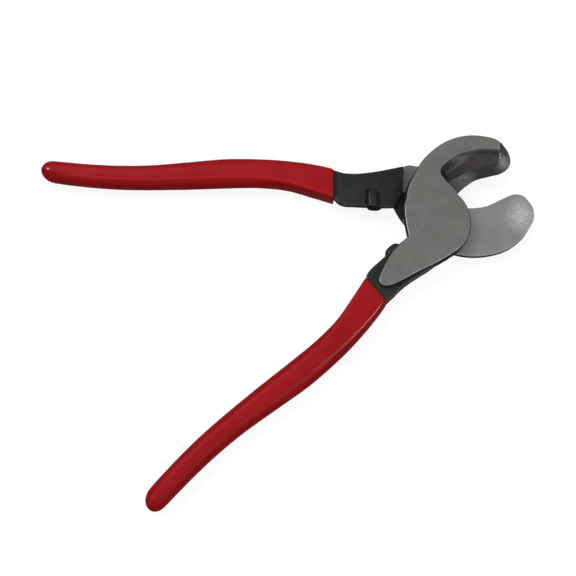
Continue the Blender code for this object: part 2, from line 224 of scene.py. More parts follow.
class Outline:
    """A closed outline in plan, anticlockwise."""

    def __init__(self, *runs):
        p = join(runs)
        if np.linalg.norm(p[0] - p[-1]) < STEP / 3:
            p = p[:-1]
        after = np.roll(p, -1, 0)
        area = (p[:, 0] * after[:, 1] - after[:, 0] * p[:, 1]).sum()
        self.points = p if area > 0 else p[::-1]

    def depth(self, q):
        """Distance inside the outline, negative outside."""
        a, b = self.points, np.roll(self.points, -1, 0)
        inside = np.zeros(len(q), bool)
        for (ax, ay), (bx, by) in zip(a, b):
            if ay == by:
                continue
            crosses = (ay > q[:, 1]) != (by > q[:, 1])
            inside ^= crosses & (q[:, 0] < (bx - ax) * (q[:, 1] - ay) / (by - ay) + ax)
        distance = to_segments(q, a, b)[0]
        return np.where(inside, distance, -distance)

    def ring(self, inset):
        """The curve this far inside the outline, as runs of points, without the loops at tight corners."""
        before, after = np.roll(self.points, 1, 0), np.roll(self.points, -1, 0)
        along = unit(self.points - before) + unit(after - self.points)
        moved = self.points + inset * unit(np.stack([-along[:, 1], along[:, 0]], 1))
        good = np.abs(self.depth(moved) - inset) < 0.03 + 0.08 * abs(inset)
        runs, run = [], []
        for ok, p in zip(good, moved):
            if ok and run and np.linalg.norm(p - run[-1]) > 3 * STEP:
                runs.append(run)
                run = [p]
            elif ok:
                run.append(p)
        if run and runs == [] and np.linalg.norm(run[0] - run[-1]) < 3 * STEP:
            run.append(run[0])
        elif run and runs and np.linalg.norm(runs[0][0] - run[-1]) < 3 * STEP:
            run += runs.pop(0)
        return [np.array(r) for r in runs + [run] if len(r) > 1]


def unit(v):
    return v / np.maximum(np.linalg.norm(v, axis=-1, keepdims=True), 1e-12)


def join(runs):
    """Runs of points as one, without the points that two runs share."""
    points = []
    for run in runs:
        for p in np.asarray(run, float)[:, :2]:
            if not points or np.linalg.norm(p - points[-1]) > 0.1:
                points.append(p)
    return np.array(points)


def profile(distance, table):
    return np.interp(distance, *zip(*table))


def smooth(x, low, high):
    t = np.clip((x - low) / (high - low), 0, 1)
    return t * t * (3 - 2 * t)


def widened(curve, spread, way):
    """A neck's side moved along Y."""
    shift = way * np.interp(curve[:, 0], NECK_PLACES, spread)
    return curve + np.column_stack([np.zeros(len(curve)), shift])


def ramp_out(depth, edge, base, inside):
    """Inside an outline its own height, and past it a steep wall that falls from edge to base."""
    wall = edge + (base - edge) * np.clip(-depth / WALL, 0, 1)
    return np.where(depth > -TOUCH, inside, wall)


class Bevel:
    """The ground band between a ridge and a cutting edge, ruled straight from one to the other."""

    COUNT = 90  # rules across it
    LINES = 7  # lines along it

    def __init__(self, ridge, edge):
        self.ridge, self.edge = (self.even(c) for c in (ridge, edge))
        self.edge[:, 2] += EDGE_LAND
        self.edge_line = Line(self.edge)
        self.ridge_line = Line(self.ridge)

    def even(self, points):
        fine = spline(points, 0.1)
        length = np.concatenate([[0], np.cumsum(np.linalg.norm(np.diff(fine, axis=0), axis=1))])
        wanted = np.linspace(0, length[-1], self.COUNT)
        return np.stack([np.interp(wanted, length, fine[:, k]) for k in range(3)], 1)

    def locate(self, q):
        """Height of the ruled surface, share of the way from ridge to edge, and whether q is found on it.

        The surface is read a little past the ridge and past the edge as well.
        """
        r, e = self.ridge, self.edge
        rule = (e - r)[:, :2]
        x, y = q[:, None, 0] - r[None, :, 0], q[:, None, 1] - r[None, :, 1]
        side = rule[None, :, 0] * y - rule[None, :, 1] * x
        a, b = side[:, :-1], side[:, 1:]
        w = np.clip(a / np.where(np.abs(a - b) < 1e-12, 1e-12, a - b), 0, 1)
        start = r[None, :-1] + w[..., None] * (r[1:] - r[:-1])[None]
        end = e[None, :-1] + w[..., None] * (e[1:] - e[:-1])[None]
        run = (end - start)[..., :2]
        u = ((q[:, None] - start[..., :2]) * run).sum(2) / (run * run).sum(2)
        found = ((a >= -1e-9) != (b > 1e-9)) & (u > -0.45) & (u < 1.15)
        first = found.argmax(1)
        rows = np.arange(len(q))
        u = u[rows, first]
        z = start[rows, first, 2] + u * (end - start)[rows, first, 2]
        return z, u, found.any(1)

    def ends(self, q):
        """Distance from each point to the nearer of the first and the last rule."""
        first = to_segments(q, self.ridge[:1, :2], self.edge[:1, :2])[0]
        last = to_segments(q, self.ridge[-1:, :2], self.edge[-1:, :2])[0]
        return np.minimum(first, last)


class Plan:
    """Points and lines in plan that a relief's triangles follow."""

    def __init__(self):
        self.points, self.edges = [], []

    def line(self, points, closed=False):
        start = len(self.points)
        self.points += [tuple(p[:2]) for p in points]
        self.edges += [(start + i, start + i + 1) for i in range(len(points) - 1)]
        if closed:
            self.edges.append((start + len(points) - 1, start))

    def rings(self, outline, insets):
        for inset in insets:
            if inset == 0:
                self.line(outline.points, closed=True)
            else:
                for run in outline.ring(inset):
                    self.line(run)

    def scatter(self, inside, low, high):
        """Points in a triangular pattern over the open faces, clear of the lines."""
        rows = np.arange(low[1], high[1], MESH_PITCH * 0.866)
        grid = [(x + (k % 2) * MESH_PITCH / 2, y) for k, y in enumerate(rows)
                for x in np.arange(low[0], high[0], MESH_PITCH)]
        grid = np.array(grid)
        grid = grid[inside(grid) > 0.3]
        lines = np.array(self.points)
        nearest = np.array([np.min((lines[:, 0] - x) ** 2 + (lines[:, 1] - y) ** 2) for x, y in grid])
        self.points += [tuple(p) for p in grid[nearest > (MESH_PITCH / 2) ** 2]]

    def triangles(self):
        verts = [Vector(p) for p in self.points]
        co, _, faces, *_ = geometry.delaunay_2d_cdt(verts, self.edges, [], 0, 1e-4)
        return np.array([tuple(c) for c in co]), np.array(faces)


def border(triangles):
    """The directed edges that only one triangle has."""
    edges = {}
    for t in triangles:
        for i, j in ((t[0], t[1]), (t[1], t[2]), (t[2], t[0])):
            if (j, i) in edges:
                del edges[(j, i)]
            else:
                edges[(i, j)] = True
    return list(edges)


class Side:
    """One body of the tool: how far it is swung from closed, and which way up it is drawn."""

    def __init__(self, body, angle, turned_over):
        self.body = body
        self.turned_over = turned_over
        self.swing = Matrix.Rotation(math.radians(angle), 3, 'Z')

    def place(self, points):
        p = np.array(points, float)
        if self.turned_over:
            p = p * (1, -1, -1) + (0, 0, THICKNESS)
        return (p @ np.array(self.swing).T) * MM


HOOK_SIDE = Side("hook_side", HALF_OPENING, turned_over=False)
BLADE_SIDE = Side("blade_side", -HALF_OPENING, turned_over=True)


def add_mesh(name, points, faces, side, node, sharp=32.0):
    """A piece from drawn points, which rides on its side's body and stands for a CAD node."""
    mesh = bpy.data.meshes.new(name)
    mesh.from_pydata([tuple(p) for p in side.place(points)], [], [tuple(int(i) for i in f) for f in faces])
    mesh.validate()
    mesh.shade_smooth()
    mesh.set_sharp_from_angle(angle=math.radians(sharp))
    obj = bpy.data.objects.new(name, mesh)
    bpy.context.scene.collection.objects.link(obj)
    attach(obj, side.body)
    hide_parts(node)
    return obj


def add_attribute(obj, name, values):
    values = np.asarray(values, np.float32)
    kind = 'FLOAT' if values.ndim == 1 else 'FLOAT_VECTOR'
    layer = obj.data.attributes.new(name, kind, 'POINT')
    layer.data.foreach_set('value' if values.ndim == 1 else 'vector', values.ravel())


def waves(points, size, seed):
    """Smooth noise from -1 to 1 over the points, with features of about the given size."""
    return np.array([noise.noise(Vector((p[0], p[1], seed + (p[2] if len(p) > 2 else 0.0))) / size)
                     for p in points])


class Half:
    """A forged half as a relief."""

    heel = [(-17.0, -22.4), (-11.0, -23.4)]  # where the tongue's outline runs into the joint's arc
    heel_angle = -104.0
    face_kind = 'ground'

    def __init__(self, outer, edge, ridge, rim_profile, neck_spread, neck_profiles):
        self.bevel = Bevel(ridge, edge)
        rim = [spline(outer), spline(TONGUE + self.heel),
               arc(JOINT_ARC_CENTRE, JOINT_ARC_RADIUS, self.heel_angle, JOINT_ARC_END)]
        self.plate = Outline(self.bevel.edge, *rim)
        self.rim = Line(*rim)
        self.rim_profile = rim_profile
        inner = widened(spline(NECK_INNER), neck_spread[0], 1)
        outer = widened(spline(NECK_OUTER), neck_spread[1], -1)
        self.neck_top, self.neck_bottom = neck_profiles
        shoulder = [straight([inner[-1], NECK_SHOULDER]), straight([NECK_SHOULDER, outer[0]])]
        self.neck = Outline(inner, *shoulder, outer, straight([outer[-1], inner[0]]))
        self.neck_sides = [Line(inner), Line(outer)]
        self.slant, self.step = (Line(run) for run in shoulder)
        self.lug = Outline(spline(LUG, FINE_STEP), straight([LUG[-1], LUG[0]]))
        high, low = RIB_ENDS
        left, right = RIB_CENTRE_X - RIB_RADIUS, RIB_CENTRE_X + RIB_RADIUS
        self.rib = Outline(straight([(left, high), (left, low)], FINE_STEP),
                           arc((RIB_CENTRE_X, low), RIB_RADIUS, 180, 360, RIB_END_STEP),
                           straight([(right, low), (right, high), (left, high)], FINE_STEP))
        self.hole = Outline(arc((0, 0), RIVET_RADIUS + RIVET_SEAM, 0, 360, FINE_STEP))

    def inside(self, q):
        solid = np.maximum(self.plate.depth(q), np.maximum(self.neck.depth(q), self.lug.depth(q)))
        return np.minimum(solid, -self.hole.depth(q))

    def plan(self):
        plan = Plan()
        plan.rings(self.plate, [0, -WALL] + [d for d, _ in self.rim_profile[1:]])
        plan.rings(self.neck, [0, -WALL] + sorted({d for d, _ in CRISP + TAPERED if d > 0}))
        plan.rings(self.lug, [0, -WALL] + [d for d, _ in LUG_PROFILE[1:]])
        plan.rings(self.rib, [0, -WALL] + [d for d, _ in RIB_PROFILE[1:]] + [-d for d, _ in RIB_GROOVE[1:]])
        plan.rings(self.hole, [0])
        plan.line(arc((0, 0), RIVET_HEAD_RADIUS + RIVET_SEAM, 0, 360, FINE_STEP)[:-1], closed=True)
        for k in range(Bevel.LINES):
            plan.line(self.bevel.ridge + (self.bevel.edge - self.bevel.ridge) * (k / Bevel.LINES))
        for rule, way in ((0, 1), (-1, -1)):
            start, end = self.bevel.ridge[rule, :2], self.bevel.edge[rule, :2]
            across = unit(np.array([-(end - start)[1], (end - start)[0]])) * WALL
            for shift in (0.0, 1.0, 2.0):
                plan.line(straight([start + way * shift * across, end + way * shift * across]))
        self.more_lines(plan)
        low, high = self.plate.points.min(0), self.plate.points.max(0)
        plan.scatter(self.inside, (NECK_END_X, low[1]), high)
        return plan

    def rim_height(self, q):
        return profile(self.rim.distance(q), self.rim_profile)

    def more_lines(self, plan):
        """Lines of a half's own features."""

    def carve(self, q, z):
        """Height of the plate after what is cut into it."""
        return z

    def ground(self, q, z):
        """The plate's outer face with its bevel, from a height z."""
        slope, share, found = self.bevel.locate(q)
        cut = np.where(found & (share > BEVEL_START), slope, 2 * THICKNESS)
        wall = smooth(self.bevel.ends(q), 0.0, WALL)
        cut = np.where(cut < z, z + (cut - z) * wall, z)
        return np.minimum(z, cut)

    def countersink(self, q, z):
        radius = np.linalg.norm(q, axis=1)
        head = RIVET_HEAD_RADIUS + RIVET_SEAM
        slope = THICKNESS - RIVET_HEAD_HEIGHT * (head - radius) / (RIVET_HEAD_RADIUS - RIVET_RADIUS)
        return np.where(radius < head - TOUCH, np.minimum(z, slope), z)

    def top(self, q):
        depth = self.plate.depth(q)
        outer = self.carve(q, self.ground(q, self.rim_height(q)))
        outer = self.countersink(q, outer)
        plate = ramp_out(depth, self.rim_profile[0][1], 0.0, outer)
        return np.maximum(plate, MID + self.forging(q, self.neck_top))

    def from_neck_side(self, q):
        return np.minimum(*(side.distance(q) for side in self.neck_sides))

    def forging(self, q, neck_profile):
        """Height over MID of the neck and lug."""
        neck_depth = self.neck.depth(q)
        height = profile(self.from_neck_side(q), neck_profile)
        height = np.minimum(height, profile(self.step.distance(q), STEP_PROFILE))
        height = np.minimum(height, profile(self.slant.distance(q), SLANT_PROFILE))
        neck = ramp_out(neck_depth, height, -MID, height)
        uneven = 0.05 * waves(q, 5.0, 3.0) * smooth(neck_depth, 0.3, 2.0)
        neck = neck + np.where(neck_depth > 0, uneven, 0.0)
        lug_depth = self.lug.depth(q)
        lug = ramp_out(lug_depth, LUG_PROFILE[0][1], -MID, profile(lug_depth, LUG_PROFILE))
        return np.maximum(neck, lug)

    def bottom(self, q):
        depth = self.plate.depth(q)
        rounding = profile(self.rim.distance(q), FACE_ROUND)
        plate = ramp_out(depth, FACE + FACE_ROUND[0][1], 2 * THICKNESS, FACE + rounding)
        rib_depth = self.rib.depth(q)
        forging = self.forging(q, self.neck_bottom)
        groove = np.where(self.neck.depth(q) > 0.8, profile(-rib_depth, RIB_GROOVE), 0.0)
        rib = ramp_out(rib_depth, RIB_PROFILE[0][1], -MID, profile(rib_depth, RIB_PROFILE))
        return np.minimum(plate, MID - np.maximum(forging - groove, rib))

    def plan_mesh(self):
        """The plan's points, and its triangles inside the outlines, all anticlockwise."""
        q, triangles = self.plan().triangles()
        triangles = triangles[self.inside(q[triangles].mean(1)) > 0]
        a, b, c = (q[triangles[:, k]] for k in range(3))
        area = (b[:, 0] - a[:, 0]) * (c[:, 1] - a[:, 1]) - (b[:, 1] - a[:, 1]) * (c[:, 0] - a[:, 0])
        triangles = np.where((area > 0)[:, None], triangles, triangles[:, ::-1])
        used, index = np.unique(triangles, return_inverse=True)
        return q[used], index.reshape(triangles.shape)

    def build(self, name, side, materials):
        """The relief with its tang, as one piece with a material for each kind of surface."""
        q, triangles = self.plan_mesh()
        bottom = self.bottom(q)
        top = np.maximum(self.top(q), bottom + THINNEST)
        count = len(q)
        faces = [tuple(t) for t in triangles] + [tuple(t[::-1] + count) for t in triangles]
        faces += [(count + j, count + i, i, j) for i, j in border(triangles)]
        points = np.concatenate([np.column_stack([q, top]), np.column_stack([q, bottom])])
        tang_points, tang_faces = tang()
        faces += [tuple(i + len(points) for i in f) for f in tang_faces]
        points = np.concatenate([points, tang_points])
        obj = add_mesh(name, points, faces, side, name.removesuffix("_relief"))
        centres = q[triangles].mean(1)
        kinds = [*self.kinds_above(centres, top[triangles]), *self.kinds_below(centres, bottom[triangles])]
        kinds += ['oxide'] * (len(faces) - len(kinds))
        names = list(materials)
        for material in materials.values():
            obj.data.materials.append(material)
        obj.data.polygons.foreach_set('material_index', [names.index(k) for k in kinds])
        self.add_surface_attributes(obj, points)

    def add_surface_attributes(self, obj, points):
        """What the materials follow: the place as drawn, and nearness to the half's own lines."""
        q = points[:, :2]
        add_attribute(obj, 'plan', points)
        # Painted highlight along the rim, which the blade's face reads.
        add_attribute(obj, 'rim', np.exp(-self.rim.distance(q) / RIM_HIGHLIGHT_REACH))
        flow = [self.bevel.edge_line.along(q), self.bevel.edge_line.distance(q), np.zeros(len(q))]
        add_attribute(obj, 'flow', np.column_stack(flow))
        # Painted shade in the groove: darkest from 0.2 to 0.9 mm outside the rib.
        groove = np.exp(-np.maximum(np.abs(self.rib.depth(q) + 0.55) - 0.35, 0) / 0.25)
        add_attribute(obj, 'groove', groove)
        # Painted highlight: a light line just inside each neck edge.
        edge_highlight = np.exp(-np.abs(self.from_neck_side(q) - EDGE_HIGHLIGHT_INSET) / EDGE_HIGHLIGHT_REACH) * (self.neck.depth(q) > TOUCH)
        add_attribute(obj, 'edge_highlight', edge_highlight)

    def kinds_below(self, q, z):
        """Kind of surface of each bottom triangle, from its centre q and its corners' heights z."""
        kinds = np.full(len(q), 'oxide', object)
        kinds[(self.plate.depth(q) > 0) & (z.min(1) > FACE - 0.05)] = self.face_kind
        return kinds


class HookHalf(Half):
    def __init__(self):
        super().__init__(HOOK_OUTER, HOOK_EDGE, HOOK_RIDGE, RIM_PROFILE, HOOK_NECK_SPREAD, (CRISP, TAPERED))
        self.pocket = Outline(spline(HOOK_POCKET + HOOK_POCKET[:1]))

    def more_lines(self, plan):
        plan.rings(self.pocket, POCKET_RINGS)
        plan.rings(self.plate, [DRAFT_WIDTH + d for d, _ in self.rim_profile])

    def rim_height(self, q):
        """A fine round edge, and under it at the back of the half a slanted wall that fades out both ways."""
        distance = self.rim.distance(q)
        x, y = q[:, 0], q[:, 1]
        width = DRAFT_WIDTH * smooth(-x, -12.0, -4.0) * smooth(x, -11.0, -6.5) * smooth(y, 0.0, 6.0)
        share = np.clip(distance / np.maximum(width, TOUCH), 0, 1)
        slant = (1 - share) * (DRAFT_DROP - THICKNESS + self.rim_profile[0][1])
        return profile(distance - width, self.rim_profile) - np.where(width > TOUCH, slant, 0.0)

    def carve(self, q, z):
        """The pocket: long and scooped at its left end, with a sharp lip at its right end."""
        depth = self.pocket.depth(q)
        a, b = self.pocket.points, np.roll(self.pocket.points, -1, 0)
        _, index, share = to_segments(q, a, b)
        nearest = a[index] + share[:, None] * (b - a)[index]
        outward = unit(nearest - q)
        # The rim's height is read just outside the pocket, and a high rim gives its wall a wider run.
        brink = nearest + np.where(depth > 1e-6, 1.0, -1.0)[:, None] * outward * 0.02
        rim = self.ground(brink, np.full(len(q), THICKNESS))
        sharpness = smooth(nearest[:, 0], 22.0, 34.0)
        high = smooth(rim, POCKET_FLOOR + 1.2, THICKNESS - 0.5)
        t = np.clip(depth / (0.5 + 0.6 * high), 0, 1)
        steep = np.sqrt(1 - (1 - t) ** 2)
        t = np.clip(depth / (0.7 + 3.3 * high), 0, 1)
        scooped = 0.55 * smooth(t, 0, 1) + 0.45 * t ** 0.6
        drop = sharpness * steep + (1 - sharpness) * scooped
        bowl = 0.5 * (1 - smooth(depth, 0.0, 4.0))
        floor = POCKET_FLOOR + bowl + 0.05 * waves(q, 6.0, 9.0)
        return np.where(depth > 0, np.minimum(z, rim + (floor - rim) * drop), z)

    def kinds_above(self, q, z):
        """Kind of surface of each top triangle, from its centre q and its corners' heights z."""
        _, share, found = self.bevel.locate(q)
        plate = self.plate.depth(q) > 0
        kinds = np.full(len(q), 'oxide', object)
        kinds[plate & (self.rim_height(q) > THICKNESS - RIM_BLACK)] = 'ground'
        kinds[plate & found & (share > -0.05) & (z.max(1) < THICKNESS - 0.1)] = 'bevel'
        kinds[self.pocket.depth(q) > 0] = 'pocket'
        return kinds


class BladeHalf(Half):
    heel = [(-17.0, -22.3), (-14.5, -22.8), (-12.5, -23.6), (-11.0, -23.85), (-9.6, -23.75), (-7.6, -23.3),
            (-4.5, -23.4)]
    heel_angle = -80.0
    face_kind = 'blade'

    def __init__(self):
        super().__init__(BLADE_OUTER, BLADE_EDGE, BLADE_RIDGE, SPINE_PROFILE, BLADE_NECK_SPREAD,
                         (TAPERED, CRISP))

    def kinds_above(self, q, z):
        _, share, found = self.bevel.locate(q)
        plate = self.plate.depth(q) > 0
        kinds = np.full(len(q), 'oxide', object)
        kinds[plate & (self.rim.distance(q) > SPINE_WIDTH)] = 'ground'
        kinds[plate & found & (share > BEVEL_START) & (z.max(1) < THICKNESS)] = 'bevel'
        return kinds

    def kinds_below(self, q, z):
        """As in the other half, less the black corner beside the neck, which is all left of x = -11."""
        kinds = super().kinds_below(q, z)
        start, end = np.array(BLACK_CORNER)
        run = end - start
        beside = run[0] * (q[:, 1] - start[1]) - run[1] * (q[:, 0] - start[0])
        kinds[(beside < 0) & (q[:, 0] < -11.0) & (q[:, 1] > NECK_SHOULDER[1] - 0.8)] = 'oxide'
        return kinds


def corner(a, b, c, reach_in, reach_out):
    """Points round the corner b of the path a-b-c, as a quadratic curve."""
    a, b, c = (np.array(v, float) for v in (a, b, c))
    start = b + unit(a - b) * min(reach_in, 0.5 * np.linalg.norm(a - b))
    end = b + unit(c - b) * min(reach_out, 0.5 * np.linalg.norm(c - b))
    t = np.linspace(0, 1, CORNER_POINTS)[:, None]
    return (1 - t) ** 2 * start + 2 * t * (1 - t) * b + t ** 2 * end


def section(half_width, half_thickness, sides):
    """Closed oval section: a flat top as far as a shoulder, a slope down to the side, a round side.

    The two sides are (shoulder, softness) pairs, the inner side first.
    """
    crown = 0.04 * half_thickness
    top = (0.0, half_thickness)
    waist = (half_width, 0.0)
    halves = []
    for shoulder, soft in sides:
        drop = 0.42 * half_thickness + 0.35 * shoulder
        ridge = (half_width - shoulder, half_thickness - crown)
        flank = (half_width - 0.04 * shoulder, half_thickness - drop)
        quarter = [top, (0.35 * ridge[0], half_thickness - 0.12 * crown)]
        quarter += [(0.7 * ridge[0], half_thickness - 0.5 * crown)]
        quarter += list(corner(top, ridge, flank, soft, soft))
        quarter += list(corner(ridge, flank, waist, 2.2, 2.6))
        quarter += [(half_width - 0.03, 0.3 * (half_thickness - drop)), waist]
        quarter = np.array(quarter)
        halves.append(np.concatenate([quarter, quarter[-2::-1] * (1, -1)]))
    inner, outer = halves
    return np.concatenate([inner, outer[-2:0:-1] * (-1, 1)])


# A handle at stations along X: (x, centre y, width, then the shoulder's width and its softness, each on the
# inner and on the outer side).
HANDLE_STATIONS = [
    (-44.0, -11.5, 16.2, 0.45, 1.3, 0.4, 1.5),
    (COLLAR_X, -13.1, 16.1, 0.45, 1.3, 0.4, 1.5),
    (-60.0, -16.2, 15.2, 0.8, 1.4, 0.45, 1.5),
    (-72.0, -18.8, 14.1, 1.7, 2.4, 0.55, 1.7),
    (-86.0, -20.0, 14.1, 3.0, 3.1, 0.6, 2.4),
    (-102.0, -20.1, 14.5, 3.4, 3.4, 0.6, 2.8),
    (-122.0, -19.1, 13.4, 3.3, 3.3, 0.6, 2.6),
    (-142.0, -18.4, 12.0, 3.2, 3.2, 0.6, 2.4),
    (-162.0, -19.0, 11.5, 3.0, 3.0, 0.7, 2.3),
    (-180.0, -20.8, 11.1, 3.0, 3.0, 1.2, 2.3),
    (GRIP_TIP_X, -22.9, 10.6, 4.2, 4.2, 3.0, 3.0),
]
GRIP_HALF_THICKNESS = 6.6
GRIP_WALL = 1.5
TIP_LENGTH = 7.0
TIP_RINGS = 14
TIP_POWER = 2.15  # 2 would round a tip off as an ellipse
GRIP_PITCH = 1.3  # spacing of a grip's rings
HIDDEN_PITCH = 6.0  # and of those of its cavity and the tang
HIDDEN_END_X = GRIP_TIP_X + 12.0
# The collar's rolled lip: distance back from the collar, and how far the lip is drawn in.
COLLAR_LIP = [(3.4, 0.02), (2.4, 0.05), (1.6, 0.08), (1.0, 0.12), (0.6, 0.17), (0.3, 0.25), (0.1, 0.36),
              (0.0, 0.5)]
# Rings of the mouth that fits round the neck: place along X, and clearance.
MOUTH = [(COLLAR_X + 0.02, 0.2), (COLLAR_X - 0.1, 0.08), (NECK_END_X - 0.3, 0.08)]
HANDLE_LINE = spline([s[:3] for s in HANDLE_STATIONS], 0.5)


def handle_at(x):
    """Centre y and width of the handle at x."""
    return [np.interp(-x, -HANDLE_LINE[:, 0], HANDLE_LINE[:, column]) for column in (1, 2)]


def shoulder_at(x, column):
    """One of the stations' shoulder columns at x."""
    return np.interp(-x, [-s[0] for s in HANDLE_STATIONS], [s[column] for s in HANDLE_STATIONS])


def grip_ring(x, inset=0.0, shrink=1.0):
    """One section of a grip at x, on its outer surface or further in."""
    y, width = handle_at(x)
    sides = [[shoulder_at(x, column) for column in pair] for pair in ((3, 5), (4, 6))]
    ring = shrink * section(width / 2 - inset, GRIP_HALF_THICKNESS - inset, sides)
    return np.column_stack([np.full(len(ring), x), y + ring[:, 0], MID + ring[:, 1]])


def mouth_ring(x, clearance):
    """Section of the neck where it enters the grip, plus a clearance."""
    inner = np.interp(x, *zip(*NECK_INNER[:2]))
    outer = np.interp(x, *zip(*NECK_OUTER[:-3:-1])) - 0.1
    half_width = (inner - outer) / 2 - 0.5 + clearance
    half_thickness = NECK_HALF_THICKNESS + clearance + 0.05
    ring = section(half_width, half_thickness, [(0.7, 0.2), (0.7, 0.2)])
    return np.column_stack([np.full(len(ring), x), (inner + outer) / 2 + ring[:, 0], MID + ring[:, 1]])


def tip_rings(x, inset):
    """Sections that round off a handle's tip, the last one nearly a point."""
    rings = []
    for u in np.sin(np.linspace(0.0, 0.5 * math.pi * 0.985, TIP_RINGS)):
        rings.append(grip_ring(x + TIP_LENGTH * (1 - u), inset, (1 - u ** TIP_POWER) ** (1 / TIP_POWER)))
    return rings


def loft(rings):
    """Points and faces of a capped tube through rings of the same number of points."""
    size = len(rings[0])
    points = np.concatenate(rings)
    faces = []
    for k in range(len(rings) - 1):
        for i in range(size):
            j = (i + 1) % size
            faces.append((k * size + i, k * size + j, (k + 1) * size + j, (k + 1) * size + i))
    faces.append(tuple(range(size))[::-1])
    faces.append(tuple((len(rings) - 1) * size + i for i in range(size)))
    return points, faces


def ridge_line(points):
    """How near each point is to the ridge along the handle's inner side, which places the painted highlight
    there.
    """
    x, y, z = points.T
    centre, width = handle_at(x)
    ridge = centre + width / 2 - shoulder_at(x, 3)
    near = np.exp(-((y - ridge) / 0.5) ** 2) * smooth(np.abs(z - MID), 4.5, 5.5)
    return near * smooth(x, GRIP_TIP_X + 5, GRIP_TIP_X + 20)


def build_grip(name, side, vinyl, ridge_highlight):
    """Dipped sleeve: uneven glossy outside, a rolled lip at the collar, and a cavity for the tang."""
    rings = tip_rings(GRIP_TIP_X, 0.0)[::-1]
    xs = np.arange(GRIP_TIP_X + TIP_LENGTH + GRIP_PITCH, COLLAR_X - 4.0, GRIP_PITCH)
    rings += [grip_ring(x) for x in xs]
    rings += [grip_ring(COLLAR_X - back, inset) for back, inset in COLLAR_LIP]
    outside = np.concatenate(rings)
    centre = np.array([[handle_at(p[0])[0], MID] for p in outside])
    out = unit(outside[:, 1:] - centre)
    x = outside[:, 0]
    fade = smooth(x, GRIP_TIP_X, GRIP_TIP_X + 6) * smooth(-x, -COLLAR_X + 0.5, -COLLAR_X + 4)
    uneven = 0.09 * waves(outside, 17.0, 5.0) + 0.035 * waves(outside, 6.0, 8.0)
    outside[:, 1:] += out * (uneven * fade)[:, None]
    rings = list(outside.reshape(len(rings), -1, 3))
    rings += [mouth_ring(x, clearance) for x, clearance in MOUTH]
    rings += [grip_ring(x, GRIP_WALL) for x in np.arange(NECK_END_X - 2.0, HIDDEN_END_X, -HIDDEN_PITCH)]
    rings += tip_rings(GRIP_TIP_X + GRIP_WALL, GRIP_WALL)
    points, faces = loft(rings)
    grip = add_mesh(name, points, faces, side, name.removesuffix("_sleeve"), sharp=50.0)
    grip.data.materials.append(vinyl)
    # Painted highlight along the ridge, scaled per grip.
    add_attribute(grip, 'ridge', ridge_highlight * ridge_line(points))


def tang():
    """Points and faces of the tang that a grip hides, from the neck to the tip."""
    inset = GRIP_WALL + GAP
    rings = [grip_ring(NECK_END_X + GAP, inset, 0.85)]
    rings += [grip_ring(x, inset) for x in np.arange(NECK_END_X - 1.0, HIDDEN_END_X, -HIDDEN_PITCH)]
    return loft(rings + tip_rings(GRIP_TIP_X + inset, inset))


def build_rivet(side, steel):
    """Rivet with countersunk heads, ground flush with both outer faces."""
    radii = [(0.0, 2.0), (0.0, 4.5), (0.0, RIVET_HEAD_RADIUS), (RIVET_HEAD_HEIGHT, RIVET_RADIUS),
             (MID, RIVET_RADIUS)]
    radii += [(THICKNESS - z, r) for z, r in radii[-2::-1]]
    turns = np.radians(np.arange(0, 360, 3))
    circle = np.column_stack([np.cos(turns), np.sin(turns), np.zeros(len(turns))])
    points, faces = loft([circle * r + (0, 0, z) for z, r in radii])
    rivet = add_mesh("rivet_flush", points, faces, side, "pivot_rivet")
    rivet.data.materials.append(steel)
    add_attribute(rivet, 'plan', points)


# Materials.

